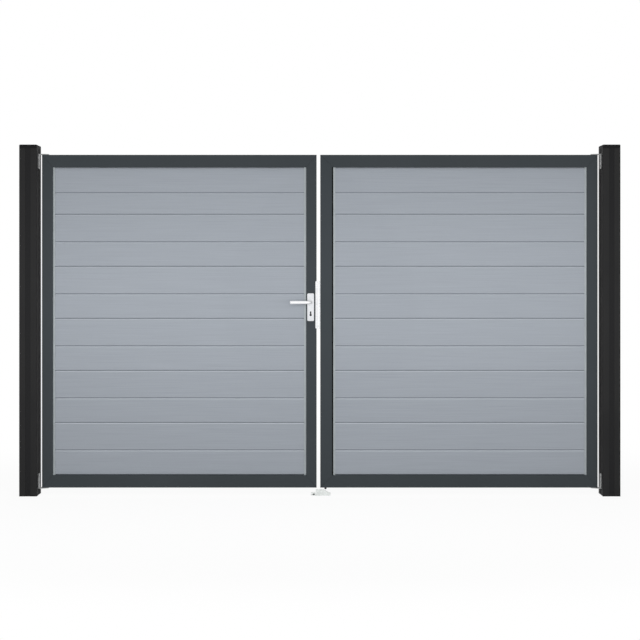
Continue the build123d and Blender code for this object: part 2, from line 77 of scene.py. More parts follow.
class Wire:
    """One output socket of a node tree. Sums on wires add Math nodes to the same tree."""

    def __init__(self, nodes, socket):
        self.nodes = nodes
        self.socket = socket

    def __add__(self, other):
        return self.nodes.math("ADD", self, other)

    def __sub__(self, other):
        return self.nodes.math("SUBTRACT", self, other)

    def __rsub__(self, other):
        return self.nodes.math("SUBTRACT", other, self)

    def __mul__(self, other):
        return self.nodes.math("MULTIPLY", self, other)

    def __truediv__(self, other):
        return self.nodes.math("DIVIDE", self, other)

    def __rtruediv__(self, other):
        return self.nodes.math("DIVIDE", other, self)

    __radd__ = __add__
    __rmul__ = __mul__


class Nodes:
    """A node tree that is written as calls."""

    def __init__(self, tree):
        self.tree = tree

    def node(self, kind, settings=None, sockets=None, output=0):
        made = self.tree.nodes.new(kind)
        for name, value in (settings or {}).items():
            setattr(made, name, value)
        for key, value in (sockets or {}).items():
            self.fill(made.inputs[key], value)
        return Wire(self, made.outputs[output]) if made.outputs else None

    def fill(self, socket, value):
        if isinstance(value, Wire):
            self.tree.links.new(value.socket, socket)
        else:
            socket.default_value = value

    def math(self, operation, *values):
        return self.node("ShaderNodeMath", {"operation": operation}, dict(enumerate(values)))


def paint(red, green, blue):
    """A colour as a paint chart gives it, 0 to 255, in the linear values that Blender's sockets take."""

    def linear(level):
        share = level / 255
        return share / 12.92 if share <= 0.04045 else ((share + 0.055) / 1.055) ** 2.4

    return (linear(red), linear(green), linear(blue), 1.0)


print("mid grey 128 is", round(paint(128, 128, 128)[0], 3), "in linear values")

# %% [markdown]
# ## Camera
# The gate is photographed square on, from about chest height, by someone who stands 6 m away. Upright
# lines stay upright, so the camera is level and the picture is shifted down, as a view camera does it,
# instead of being tilted. The shift is only as large as the framing needs.

# %% Camera
CAMERA_DISTANCE = 6.0475
CAMERA_HEIGHT = 1.2186
CAMERA_LENS = 62.7
CAMERA_SHIFT = -0.078
CAMERA_ASIDE = 0.001

gate_middle = (cad_box[0][0] + cad_box[1][0]) / 2
lens = bpy.data.cameras.new("viewer")
lens.lens = CAMERA_LENS
lens.shift_y = CAMERA_SHIFT
viewer = bpy.data.objects.new("viewer", lens)
viewer.location = (gate_middle + CAMERA_ASIDE, -CAMERA_DISTANCE, CAMERA_HEIGHT)
viewer.rotation_euler = (math.pi / 2, 0, 0)
scene.collection.objects.link(viewer)
scene.camera = viewer
scene.view_settings.view_transform = "Standard"
print("camera at", [round(value, 3) for value in viewer.location])

# %% [markdown]
# ## Studio light
# The picture has a pure white ground and soft light from the front and above. More light would burn the
# pale boards out, so the white is a colour and not a lamp: the surround is white only for rays that the
# camera sees straight, in metal or through glass, and dimmer for the rays that light the gate. A wide
# soft box lights each side, and one above, together with the painted highlight and painted shade on the
# groove sides, gives the grooves their dark upper and light lower sides.

# %% Surround and soft boxes
FILL_LEVEL = 0.36
AIM_HEIGHT = 1.0
SOFT_BOXES = {
    "front_soft_box": {"y": -1.6, "height": 1.13, "size": (5.2, 0.9), "power": 34.4},
    "back_soft_box": {"y": 2.8, "height": 1.2, "size": (7.0, 1.0), "power": 80.0},
    "top_soft_box": {"y": -1.7, "height": 5.2, "size": (7.0, 2.0), "power": 35.0},
}


def seen_directly(nodes):
    """1 on rays from the camera, also by way of metal or glass, and 0 on the rays that carry light."""
    camera, metal, glass = (
        nodes.node("ShaderNodeLightPath", output=flag)
        for flag in ("Is Camera Ray", "Is Glossy Ray", "Is Transmission Ray")
    )
    return nodes.math("MINIMUM", camera + metal + glass, 1.0)


world = bpy.data.worlds.new("studio_surround")
world.use_nodes = True
world.node_tree.nodes.clear()
scene.world = world
surround = Nodes(world.node_tree)
level = FILL_LEVEL + seen_directly(surround) * (1 - FILL_LEVEL)
sky = surround.node("ShaderNodeBackground", {}, {"Color": (1, 1, 1, 1), "Strength": level})
surround.node("ShaderNodeOutputWorld", {}, {"Surface": sky})


def soft_box(name, y, height, size, power):
    """A wide soft lamp that faces the gate; metal shows the white surround in its place."""
    lamp = bpy.data.lights.new(name, "AREA")
    lamp.shape = "RECTANGLE"
    lamp.size, lamp.size_y = size
    lamp.energy = power
    holder = bpy.data.objects.new(name, lamp)
    holder.location = (gate_middle, y, height)
    aim = Vector((gate_middle, 0, AIM_HEIGHT)) - holder.location
    holder.rotation_euler = aim.to_track_quat("-Z", "Y").to_euler()
    holder.visible_camera = False
    holder.visible_glossy = False
    scene.collection.objects.link(holder)


for box_name, setting in SOFT_BOXES.items():
    soft_box(box_name, **setting)
print(len(SOFT_BOXES), "soft boxes and a surround at", FILL_LEVEL)

# %% [markdown]
# ## Floor
# The floor has to catch the gate's shadow and still melt into the white ground. A plain white plane
# would show a horizon, so its finish changes with distance: near the gate it is a pale matt floor, and
# further out it turns into the same white as the surround. The gate is long, so distances along it count
# for half. For the light that it sends back to the boards the floor is greyer than it looks.

# %% Floor
FLOOR_HALF = 40.0
FLOOR_DROP = 0.0005
FLOOR_NEAR = 1.0
FLOOR_FAR = 2.2
FLOOR_WHITE_NEAR = 0.91
FLOOR_ALONG = 0.5
FLOOR_SEEN = paint(250, 250, 250)
FLOOR_LIT = paint(205, 205, 205)

plane = bpy.data.meshes.new("studio_floor")
corners = [(-1, -1), (1, -1), (1, 1), (-1, 1)]
plane.from_pydata([(FLOOR_HALF * x, FLOOR_HALF * y, -FLOOR_DROP) for x, y in corners], [], [(0, 1, 2, 3)])
floor = bpy.data.objects.new("studio_floor", plane)
scene.collection.objects.link(floor)

floor_look = bpy.data.materials.new("studio_floor")
floor_look.use_nodes = True
floor_look.node_tree.nodes.clear()
ground = Nodes(floor_look.node_tree)
spot = ground.node("ShaderNodeTexCoord", output="Object")
from_gate = ground.node(
    "ShaderNodeVectorMath", {"operation": "SUBTRACT"}, {0: spot, 1: (gate_middle, 0, 0)}
)
drawn_in = ground.node(
    "ShaderNodeVectorMath", {"operation": "MULTIPLY"}, {0: from_gate, 1: (FLOOR_ALONG, 1, 0)}
)
away = ground.node("ShaderNodeVectorMath", {"operation": "LENGTH"}, {0: drawn_in}, "Value")
whiteness = ground.node(
    "ShaderNodeMapRange",
    {"interpolation_type": "SMOOTHSTEP"},
    {"Value": away, 1: FLOOR_NEAR, 2: FLOOR_FAR, 3: FLOOR_WHITE_NEAR, 4: 1.0},
)
seen = seen_directly(ground)
tint = ground.node("ShaderNodeMix", {"data_type": "RGBA"}, {0: seen, 6: FLOOR_LIT, 7: FLOOR_SEEN}, 2)
matt = ground.node("ShaderNodeBsdfDiffuse", {}, {"Color": tint})
white = ground.node("ShaderNodeEmission", {}, {"Color": (1, 1, 1, 1), "Strength": 1.0})
both = ground.node("ShaderNodeMixShader", {}, {0: whiteness * seen, 1: matt, 2: white})
ground.node("ShaderNodeOutputMaterial", {}, {"Surface": both})
plane.materials.append(floor_look)
print("floor is white beyond", FLOOR_FAR, "m in front and behind")

# %% [markdown]
# ## What a finish is made of
# A finish could be a picture wrapped round the piece; nodes need no file and stay sharp close up. Each one
# starts from the Principled shader. What is the same all over, such as how metallic it is, is set on the
# shader's own socket. What changes over the surface is worked out from Object coordinates, which on these
# pieces are metres in the gate's frame, so a pattern has a real size: a noise of scale 500 has grains
# about 2 mm across. `stretch` draws the grains out along an axis, as brushing does.

# %% Finish class
NOISE_SPREAD = 2.0


class Finish(Nodes):
    """A procedural material: a Principled shader and the nodes that feed it."""

    def __init__(self, name, even):
        self.material = bpy.data.materials.new(name)
        self.material.use_nodes = True
        super().__init__(self.material.node_tree)
        self.shader = self.tree.nodes["Principled BSDF"]
        self.place = self.node("ShaderNodeTexCoord", output="Object")
        self.feed(even)

    def feed(self, sockets):
        for name, value in sockets.items():
            self.fill(self.shader.inputs[name], value)

    def axis(self, letter):
        return self.node("ShaderNodeSeparateXYZ", {}, {0: self.place}, letter)

    def grain(self, scale, detail=2.0, stretch=(1, 1, 1)):
        """Noise about 0.5 with grains of 1 / scale metres, spread because noise crowds round its middle."""
        drawn = self.node("ShaderNodeVectorMath", {"operation": "MULTIPLY"}, {0: self.place, 1: stretch})
        noise = self.node("ShaderNodeTexNoise", {}, {"Vector": drawn, "Scale": scale, "Detail": detail})
        return noise * NOISE_SPREAD - (NOISE_SPREAD - 1) / 2

    def between(self, share, first, second):
        """A colour between two others."""
        return self.node("ShaderNodeMix", {"data_type": "RGBA"}, {0: share, 6: first, 7: second}, 2)

    def ramp(self, value, low, high):
        """0 up to the low value, 1 from the high value on, and even in between."""
        return self.node("ShaderNodeMapRange", {}, {"Value": value, 1: low, 2: high, 3: 0.0, 4: 1.0})

    def relief(self, height, depth, strength):
        return self.node("ShaderNodeBump", {}, {"Strength": strength, "Distance": depth, "Height": height})


finishes = {}
print("noise is spread", NOISE_SPREAD, "times about its middle")

# %% [markdown]
# ## Black post coat
# The posts are aluminium with a matt black powder coat, baked on, whose surface is a fine orange peel.
# It could be a flat black with a bump map; here the same noise lifts the surface and breaks up the gloss,
# so highlights crumble as they do on the real coat. A shallow recessed band runs up the middle of each
# side, where the coat is duller and painted darker as shade in the recess; the band is found from the
# distance to the post's own axis.

# %% Post coat
POST_PEEL = 700
POST_CLOUD = 3
POST_BAND_FLOOR = 0.0469

post_coat = Finish("black_post_coat", {"Specular IOR Level": 0.08})
peel = post_coat.grain(POST_PEEL, 3)
cloud = post_coat.grain(POST_CLOUD)
right_post_x = (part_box("right_post")[0].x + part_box("right_post")[1].x) / 2
from_axis = post_coat.math("PINGPONG", post_coat.axis("X") + right_post_x * 2, right_post_x)
across = post_coat.math("MINIMUM", from_axis, right_post_x - from_axis)
reach = post_coat.math("MAXIMUM", across, post_coat.math("ABSOLUTE", post_coat.axis("Y")))
# the recess band: a duller coat, and a darker colour that is painted shade in the recess
recess_shade_and_dull = post_coat.math("LESS_THAN", reach, POST_BAND_FLOOR)
coat = post_coat.between(cloud * 0.5 + peel * 0.5, paint(40, 40, 41), paint(50, 50, 50))
post_coat.feed(
    {
        "Base Color": post_coat.between(recess_shade_and_dull, coat, paint(40, 40, 41)),
        "Roughness": 0.55 + peel * 0.2 + recess_shade_and_dull * 0.1,
        "Normal": post_coat.relief(peel, 0.0003, 0.5),
    }
)
finishes["post_coat"] = post_coat
print("post band floor lies", POST_BAND_FLOOR, "m or less from a post's axis")

# %% [markdown]
# ## Anthracite frame coat
# The stiles and rails are box sections in an anthracite powder coat, smoother than the posts'. They could
# share the posts' finish with another colour, but then they would look as rough. So the noise is finer, it
# speckles the tone as well, and a slow cloud keeps a long rail from looking like one flat colour.

# %% Frame coat
FRAME_PEEL = 1100
FRAME_CLOUD = 2.2

frame_coat = Finish("anthracite_frame_coat", {"Specular IOR Level": 0.22})
peel = frame_coat.grain(FRAME_PEEL, 3)
cloud = frame_coat.grain(FRAME_CLOUD)
frame_coat.feed(
    {
        "Base Color": frame_coat.between(cloud * 0.5 + peel * 0.5, paint(52, 58, 61), paint(62, 67, 71)),
        "Roughness": 0.46 + peel * 0.16,
        "Normal": frame_coat.relief(peel, 0.0003, 0.5),
    }
)
finishes["frame_coat"] = frame_coat
print("frame coat has grains of", round(1000 / FRAME_PEEL, 1), "mm")

# %% [markdown]
# ## Silver board coat
# The boards are hollow extrusions in a silver-grey coat with a little metal flake. Each board comes from
# its own stretch of coating, so its tone differs a hair from its neighbour's. Twelve materials could do
# that; here one does, because the board's number follows from its height and its leaf, and White Noise
# turns the number into a tone. Drawing leaves faint lines along the board, which a noise stretched along X
# gives.

# %% Boards, lines and flake
BOARD_LINES = 420
BOARD_FLAKE = 1800
DRAWN_OUT = (0.008, 1, 1)
LEAF_STEP = 17

board_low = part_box("left_board_1")[0].z
board_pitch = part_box("left_board_2")[0].z - board_low

board_coat = Finish("silver_board_coat", {"Metallic": 0.25, "Specular IOR Level": 0.4})
row = board_coat.math("FLOOR", (board_coat.axis("Z") - board_low) / board_pitch)
leaf = board_coat.math("GREATER_THAN", board_coat.axis("X"), gate_middle)
number = row + leaf * LEAF_STEP
batch = board_coat.node("ShaderNodeTexWhiteNoise", {"noise_dimensions": "1D"}, {"W": number})
lines = board_coat.grain(BOARD_LINES, 2, DRAWN_OUT)
flake = board_coat.grain(BOARD_FLAKE, 1)
tone = 0.025 + batch * 0.05 + lines * 0.45 + flake * 0.45
silver = board_coat.between(tone, paint(146, 152, 160), paint(168, 174, 182))
print("boards repeat every", round(board_pitch * 1000), "mm")

# %% [markdown]
# ## Sides of the grooves
# A groove's lower side faces up and is painted paler, a painted highlight, and its upper side faces down
# and is painted darker, a painted shade. The two could be told apart by their height in the board. The
# face's own normal says it more simply, and it also holds for the bevels between two boards.

# %% Groove sides and board coat
GROOVE_TILT = (0.2, 0.55)

normal = board_coat.node("ShaderNodeTexCoord", output="Normal")
tilt = board_coat.node("ShaderNodeSeparateXYZ", {}, {0: normal}, "Z")
# painted highlight on faces tilted up, and painted shade on faces tilted down
groove_painted_highlight = board_coat.between(board_coat.ramp(tilt, *GROOVE_TILT), silver, paint(183, 189, 196))
groove_painted_light_and_shade = board_coat.between(board_coat.ramp(0 - tilt, *GROOVE_TILT), groove_painted_highlight, paint(134, 140, 148))
board_coat.feed(
    {
        "Base Color": groove_painted_light_and_shade,
        "Roughness": 0.4 + lines * 0.06 + flake * 0.1,
        "Normal": board_coat.relief(lines * 0.6 + flake * 0.4, 0.0002, 0.35),
    }
)
finishes["board_coat"] = board_coat
print("groove sides change tone at a normal's height of", GROOVE_TILT)

# %% [markdown]
# ## Bare metals
# Lock, lever, brackets, channels and anchors are bare metals that differ only in tone, in how dull they are
# and in the direction of their fine lines. Each could have a tree of its own; one function and a table
# keep them alike. The lines are a noise stretched along the way the piece was brushed or drawn, and they
# change the gloss as well as the tone, which is what an eye reads as brushed metal.

# %% Brushed metals
METAL_LINES = 900
METAL_CLOUD = 25
ALONG_X = (0.03, 1, 1)
ALONG_Z = (1, 1, 0.03)


def brushed(name, dark, light, gloss, lines_along, metallic):
    """A brushed metal between two tones; gloss is the least and the most roughness."""
    metal = Finish(name, {"Metallic": metallic})
    lines = metal.grain(METAL_LINES, 2, lines_along)
    cloud = metal.grain(METAL_CLOUD)
    metal.feed(
        {
            "Base Color": metal.between(lines * 0.6 + cloud * 0.4, paint(*dark), paint(*light)),
            "Roughness": gloss[0] + lines * (gloss[1] - gloss[0]),
            "Normal": metal.relief(lines, 0.00008, 0.2),
        }
    )
    return metal


METALS = {
    "stainless_steel": ("satin_stainless", (222, 224, 228), (254, 255, 255), (0.22, 0.38), ALONG_X, 0.85),
    "plate_stainless": ("plate_stainless", (214, 216, 220), (248, 250, 252), (0.28, 0.42), ALONG_X, 0.85),
    # the lever's whiter, less metallic tone is a painted sheen on the same steel as the plate
    "lever_stainless": ("lever_stainless", (246, 247, 249), (255, 255, 255), (0.25, 0.38), ALONG_X, 0.6),
    "anchor_zinc": ("anchor_zinc", (76, 77, 78), (104, 105, 106), (0.4, 0.55), ALONG_X, 0.7),
    "bracket_steel": ("satin_zinc", (138, 139, 139), (180, 181, 181), (0.34, 0.5), ALONG_Z, 1.0),
    "channel_aluminium": ("satin_channel", (154, 161, 164), (178, 185, 188), (0.4, 0.52), ALONG_Z, 0.25),
}
for key, look in METALS.items():
    finishes[key] = brushed(*look)
print("brushed metals:", sorted(METALS))

# %% [markdown]
# ## Galvanised stop
# Hot zinc sets in flat crystals, the spangle on a galvanised casting. Noise would only cloud the surface,
# and the cells of a Voronoi texture have the crystals' straight sides. Each crystal gets its own tone, and
# the same cells change the gloss, so neighbouring crystals light up at different angles.

# %% Galvanised spangle
SPANGLE = 150
ZINC_PITS = 600

galvanised = Finish("galvanised_spangle", {"Metallic": 0.5})
cells = {"Vector": galvanised.place, "Scale": SPANGLE}
crystal = galvanised.node("ShaderNodeTexVoronoi", {}, cells, "Color")
facet = galvanised.node("ShaderNodeSeparateColor", {}, {0: crystal}, "Red")
pits = galvanised.grain(ZINC_PITS, 3)
galvanised.feed(
    {
        "Base Color": galvanised.between(facet, paint(228, 232, 230), paint(244, 248, 246)),
        "Roughness": 0.32 + facet * 0.14 + pits * 0.08,
        "Normal": galvanised.relief(pits, 0.0002, 0.3),
    }
)
finishes["galvanised_steel"] = galvanised
print("spangle crystals about", round(1000 / SPANGLE), "mm across")

# %% [markdown]
# ## Dark plastics and coated steel
# Post caps, pivot bushes, the black rubber bead that paints shade into the shadow line, the lock's dark
# inside and the drop bolt are all near black, and still different stuffs. One black for all of them would
# be quicker, but they catch the light differently: moulded plastic has a spark-eroded grain and a soft
# sheen, rubber has next to none, blackened steel is smoother and a little metallic, and a dipped coat is
# smooth and glossier.

# %% Dark finishes
DARK_CLOUD = 18
SHEEN = "Specular IOR Level"
METAL = "Metallic"


def dark(name, deep, worn, gloss, grain_scale, depth, even):
    """A near-black finish whose grain changes both its tone and its gloss."""
    stuff = Finish(name, even)
    grains = stuff.grain(grain_scale, 3)
    cloud = stuff.grain(DARK_CLOUD)
    stuff.feed(
        {
            "Base Color": stuff.between(grains * 0.5 + cloud * 0.5, paint(*deep), paint(*worn)),
            "Roughness": gloss[0] + grains * (gloss[1] - gloss[0]),
            "Normal": stuff.relief(grains, depth, 0.5),
        }
    )
    return stuff


DARK_STUFFS = {
    "cap_plastic": ("cap_plastic", (28, 28, 29), (34, 34, 35), (0.5, 0.65), 900, 0.0002, {SHEEN: 0.08}),
    "bush_plastic": ("bush_plastic", (24, 24, 25), (32, 32, 33), (0.5, 0.65), 1200, 0.0002, {SHEEN: 0.25}),
    "gasket_rubber": ("gasket_rubber", (10, 10, 10), (16, 16, 16), (0.7, 0.85), 1400, 0.0001, {SHEEN: 0.1}),
    "lock_dark": ("blackened_steel", (26, 26, 27), (38, 38, 39), (0.35, 0.5), 1500, 0.0001, {METAL: 0.4}),
    "rod_coat": ("dipped_black_coat", (30, 30, 31), (40, 40, 42), (0.3, 0.45), 500, 0.0002, {SHEEN: 0.4}),
}
for key, look in DARK_STUFFS.items():
    finishes[key] = dark(*look)
print("dark finishes:", sorted(DARK_STUFFS))

# %% [markdown]
# ## Finishes onto the solids
# The record says which slot each solid takes. The solids keep their meshes, and only the material in
# their slots changes. The lever and its plate are the same steel with a different polish, and the lever's
# whiter tone is a painted sheen, so these few name their own finish.

# %% Dress the solids
OWN_FINISH = {
    "front_handle_plate": "plate_stainless",
    "back_handle_plate": "plate_stainless",
    "front_lever": "lever_stainless",
    "back_lever": "lever_stainless",
}

for part in frame["record"]["subparts"]:
    solid = frame["nodes"][part["node"]]
    finish = finishes[OWN_FINISH.get(part["node"], part["material_slot"])].material
    for slot in solid.material_slots:
        slot.material = finish
    if not solid.material_slots:
        solid.data.materials.append(finish)

# %% [markdown]
# ## Geometry Nodes as recipes
# Screws repeat and beads follow a path. A Python loop could copy and turn each one, but a node tree keeps
# their sizes as named inputs that can be tried out in the editor, so Geometry Nodes make both. A `Recipe`
# is a tree with named inputs. `grow` runs it on a carrier mesh, keeps the result as a plain mesh and throws
# the carrier away with its modifier, because the finished piece has to stand alone. An input is set by its
# socket's identifier, before the tree first runs.

# %% Recipe class


class Recipe(Nodes):
    """A Geometry Nodes tree with named inputs and a finish."""

    def __init__(self, name, inputs):
        super().__init__(bpy.data.node_groups.new(name, "GeometryNodeTree"))
        face = self.tree.interface
        face.new_socket("Geometry", in_out="INPUT", socket_type="NodeSocketGeometry")
        face.new_socket("Geometry", in_out="OUTPUT", socket_type="NodeSocketGeometry")
        self.keys = {}
        for label, kind in {**inputs, "Finish": "NodeSocketMaterial"}.items():
            self.keys[label] = face.new_socket(label, in_out="INPUT", socket_type=kind).identifier
        self.entry = self.tree.nodes.new("NodeGroupInput")

    def given(self, label):
        return Wire(self, self.entry.outputs[label])

    def close(self, geometry):
        real = self.node("GeometryNodeRealizeInstances", {}, {"Geometry": geometry})
        coat = {"Geometry": real, "Material": self.given("Finish")}
        self.node("NodeGroupOutput", {}, {"Geometry": self.node("GeometryNodeSetMaterial", {}, coat)})

    def grow(self, name, mesh, values):
        carrier = bpy.data.objects.new(name + "_carrier", mesh)
        scene.collection.objects.link(carrier)
        modifier = carrier.modifiers.new(name, "NODES")
        modifier.node_group = self.tree
        for label, value in values.items():
            modifier[self.keys[label]] = value
        view = bpy.context.evaluated_depsgraph_get()
        grown = bpy.data.meshes.new_from_object(carrier.evaluated_get(view), depsgraph=view)
        bpy.data.objects.remove(carrier)
        return grown


def fit(name, mesh, finish, body):
    """Hangs a finished mesh on one of the gate's bodies."""
    mesh.name = name
    mesh.materials.clear()
    mesh.materials.append(finishes[finish].material)
    piece = bpy.data.objects.new(name, mesh)
    scene.collection.objects.link(piece)
    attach(piece, body)
    triangles = sum(len(polygon.vertices) - 2 for polygon in mesh.polygons)
    print(name, "rides", body, "with", triangles, "triangles")
    return piece


print("recipes run on a carrier and leave plain meshes")

# %% [markdown]
# ## One screw head
# Every screw here is a low button head with a hexagon socket. It could be a cylinder with a boolean cut;
# but rings of the same number of points, first round and then hexagonal, join straight into clean faces
# with no cut at all. The head is made one metre wide and one metre high, and scaled where it is used.

# %% Screw head
HEAD_POINTS = 24
HEAD_ROUND = [(0.5, 0.0), (0.5, 0.34), (0.44, 0.72), (0.33, 0.95)]
HEAD_SOCKET = [(0.23, 1.0), (0.21, 0.45)]


def hexagon_reach(turn):
    """How far a hexagon's edge lies from its middle, for one across its corners, at an angle."""
    sector = math.pi / 3
    return math.cos(sector / 2) / math.cos(turn % sector - sector / 2)


def ring(form, radius, height, six_sided):
    turns = [2 * math.pi * step / HEAD_POINTS for step in range(HEAD_POINTS)]
    reaches = [radius * (hexagon_reach(turn) if six_sided else 1) for turn in turns]
    return [
        form.verts.new((reach * math.cos(turn), reach * math.sin(turn), height))
        for turn, reach in zip(turns, reaches)
    ]


def skin(form, rings, closed):
    """Joins rings of points into a tube, with its two ends closed by a face or joined to each other."""
    pairs = list(zip(rings, rings[1:]))
    if closed:
        pairs.append((rings[-1], rings[0]))
    else:
        form.faces.new(rings[0])
        form.faces.new(rings[-1])
    for low, high in pairs:
        for step in range(len(low)):
            after = (step + 1) % len(low)
            form.faces.new((low[step], low[after], high[after], high[step]))


def settled(form, name, crease=40):
    """A bmesh as a mesh: normals outward, smooth apart from edges sharper than the crease."""
    bmesh.ops.recalc_face_normals(form, faces=form.faces)
    mesh = bpy.data.meshes.new(name)
    form.to_mesh(mesh)
    form.free()
    mesh.shade_smooth()
    mesh.set_sharp_from_angle(angle=math.radians(crease))
    return mesh


form = bmesh.new()
rings = [ring(form, radius, height, False) for radius, height in HEAD_ROUND]
rings += [ring(form, radius, height, True) for radius, height in HEAD_SOCKET]
skin(form, rings, closed=False)
head = bpy.data.objects.new("screw_head", settled(form, "screw_head"))
scene.collection.objects.link(head)
print("screw head has", len(head.data.polygons), "faces")

# %% [markdown]
# ## Screws on every fitting
# A screw is a point with a direction and a size. An array would only set them in straight rows; so each
# group gets a mesh of bare points that carry direction and size as attributes, and the recipe sets a head
# on each point, turned to face along its direction.

# %% Screw recipe
screws = Recipe("screws_on_points", {"Head": "NodeSocketObject"})
head_shape = screws.node("GeometryNodeObjectInfo", {}, {"Object": screws.given("Head")}, "Geometry")
facing = screws.node("GeometryNodeInputNamedAttribute", {"data_type": "FLOAT_VECTOR"}, {"Name": "facing"})
size = screws.node("GeometryNodeInputNamedAttribute", {"data_type": "FLOAT_VECTOR"}, {"Name": "size"})
turned_out = screws.node("FunctionNodeAlignRotationToVector", {"axis": "Z"}, {"Vector": facing})
placed = screws.node(
    "GeometryNodeInstanceOnPoints",
    {},
    {"Points": screws.given("Geometry"), "Instance": head_shape, "Rotation": turned_out, "Scale": size},
)
screws.close(placed)


def set_screws(name, spots, finish, body):
    """Screws at a list of (place, direction, head width, head height)."""
    mesh = bpy.data.meshes.new(name + "_points")
    mesh.from_pydata([place for place, *_ in spots], [], [])
    for label, values in (
        ("facing", [way for _, way, *_ in spots]),
        ("size", [(width, width, height) for *_, width, height in spots]),
    ):
        attribute = mesh.attributes.new(label, "FLOAT_VECTOR", "POINT")
        attribute.data.foreach_set("vector", [part for value in values for part in value])
    grown = screws.grow(name, mesh, {"Head": head, "Finish": finishes[finish].material})
    return fit(name, grown, finish, body)


print("screw recipe has", len(screws.tree.nodes), "nodes")

# %% [markdown]
# ## Screws on the posts
# Each bracket's plate is held to the post by two screws, and its pin is riveted through the arm. The stop
# is bolted to the ground by two dark anchors. The places could be typed in; they come from the solids' own
# boxes instead, so they follow if a solid changes.

# %% Bracket screws, pin rivets and anchors
BRACKET_THICKNESS = 0.004
BRACKET_WIDTH = 0.030
BRACKET_SCREWS = (0.016, 0.046)
BRACKET_HEAD = (0.012, 0.001)
RIVET_HEAD = (0.013, 0.001)
ANCHOR_HEAD = (0.012, 0.005)
ANCHOR_FRONT = (0.0148, 0.012)
ANCHOR_BACK = (0.046, 0.015)
STOP_FOOT = 0.004

spots = []
for side, toward in (("left", 1), ("right", -1)):
    post_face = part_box(f"{side}_post")[1 if toward > 0 else 0].x
    pin_x, pin_y, _ = pivots[f"{side}_leaf_swing"]
    for end, up in (("top", 1), ("bottom", -1)):
        low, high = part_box(f"{side}_{end}_hinge_bracket")
        free_end, arm = (low.z, high.z) if up > 0 else (high.z, low.z)
        for inset in BRACKET_SCREWS:
            plate_middle = low.y + BRACKET_WIDTH / 2
            place = (post_face + toward * BRACKET_THICKNESS, plate_middle, free_end + up * inset)
            spots.append((place, (toward, 0, 0), *BRACKET_HEAD))
        spots.append(((pin_x, pin_y, arm), (0, 0, up), *RIVET_HEAD))
set_screws("bracket_screws", spots, "bracket_steel", "posts")

stop_low, stop_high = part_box("ground_stop")
anchors = [
    ((stop_low.x + ANCHOR_FRONT[0], stop_low.y + ANCHOR_FRONT[1], STOP_FOOT), (0, 0, 1), *ANCHOR_HEAD),
    ((stop_low.x + ANCHOR_BACK[0], stop_high.y - ANCHOR_BACK[1], STOP_FOOT), (0, 0, 1), *ANCHOR_HEAD),
]
set_screws("stop_anchors", anchors, "anchor_zinc", "posts")

# %% [markdown]
# ## Screws on the leaves
# On the lock side, the forend and the keep are held by countersunk screws that stand hardly proud, so
# the two leaves pass each other. The back handle plate carries the screws that pull both plates
# together, which is why the front plate shows none. Each guide of the drop bolt has two.

# %% Lock and drop bolt screws
EDGE_HEAD = (0.008, 0.0008)
EDGE_INSET = 0.012
PLATE_HEAD = (0.008, 0.002)
PLATE_INSET = 0.013
GUIDE_HEAD = (0.009, 0.003)
GUIDE_SPREAD = 0.020
GUIDE_HALF_HEIGHT = 0.016
GUIDE_BASE = 0.004

low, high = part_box("lock_forend")
lock_spots = [((high.x, 0, z), (1, 0, 0), *EDGE_HEAD) for z in (low.z + EDGE_INSET, high.z - EDGE_INSET)]
low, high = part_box("back_handle_plate")
plate_x = (low.x + high.x) / 2
lock_spots += [
    ((plate_x, high.y, z), (0, 1, 0), *PLATE_HEAD) for z in (low.z + PLATE_INSET, high.z - PLATE_INSET)
]
set_screws("lock_screws", lock_spots, "stainless_steel", "left_leaf")

low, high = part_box("lock_keep")
keep_spots = [((low.x, 0, z), (-1, 0, 0), *EDGE_HEAD) for z in (low.z + EDGE_INSET, high.z - EDGE_INSET)]
set_screws("keep_screws", keep_spots, "stainless_steel", "right_leaf")

low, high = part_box("drop_bolt_guides")
rod_x = (low.x + high.x) / 2
guide_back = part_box("right_meeting_stile")[1].y + GUIDE_BASE
guide_spots = [
    ((rod_x + across, guide_back, z), (0, 1, 0), *GUIDE_HEAD)
    for z in (low.z + GUIDE_HALF_HEIGHT, high.z - GUIDE_HALF_HEIGHT)
    for across in (-GUIDE_SPREAD, GUIDE_SPREAD)
]
set_screws("guide_screws", guide_spots, "bracket_steel", "right_leaf")
bpy.data.objects.remove(head)

# %% [markdown]
# ## Beads along a path
# Two things follow a line: the thin seam where mitred members meet, and the black bead that paints shade
# into the meeting stile's shadow line. A curve object with a bevel would do for one line. The recipe takes a
# mesh of bare edges instead, turns them all into curves and sweeps a round profile along them, so one piece
# holds every line of a leaf.

# %% Bead recipe
beads = Recipe("bead_along_edges", {"Radius": "NodeSocketFloat", "Sides": "NodeSocketInt"})
path = beads.node("GeometryNodeMeshToCurve", {}, {"Mesh": beads.given("Geometry")})
section = beads.node(
    "GeometryNodeCurvePrimitiveCircle",
    {"mode": "RADIUS"},
    {"Resolution": beads.given("Sides"), "Radius": beads.given("Radius")},
)
swept = beads.node(
    "GeometryNodeCurveToMesh", {}, {"Curve": path, "Profile Curve": section, "Fill Caps": True}
)
beads.close(swept)


def run_bead(name, lines, radius, sides, finish, body):
    """A round bead along each of a list of straight (start, end) lines."""
    mesh = bpy.data.meshes.new(name + "_lines")
    ends = [end for line in lines for end in line]
    mesh.from_pydata(ends, [(2 * n, 2 * n + 1) for n in range(len(lines))], [])
    values = {"Radius": radius, "Sides": sides, "Finish": finishes[finish].material}
    return fit(name, beads.grow(name, mesh, values), finish, body)


print("bead recipe has", len(beads.tree.nodes), "nodes")

# %% [markdown]
# ## Mitre seams
# At each corner of a leaf, stile and rail are cut on the slant and meet in a hairline. It could be a groove
# cut into the solids, but at half a millimetre a dark bead in the surface reads the same and leaves the
# solids whole. The boxes of the members say where the corners are, and a seam runs from the outer corner
# to the inner one, in front and behind.

# %% Mitre seams
SEAM_RADIUS = 0.0004
SEAM_SIDES = 8
SEAM_INSET = 0.03

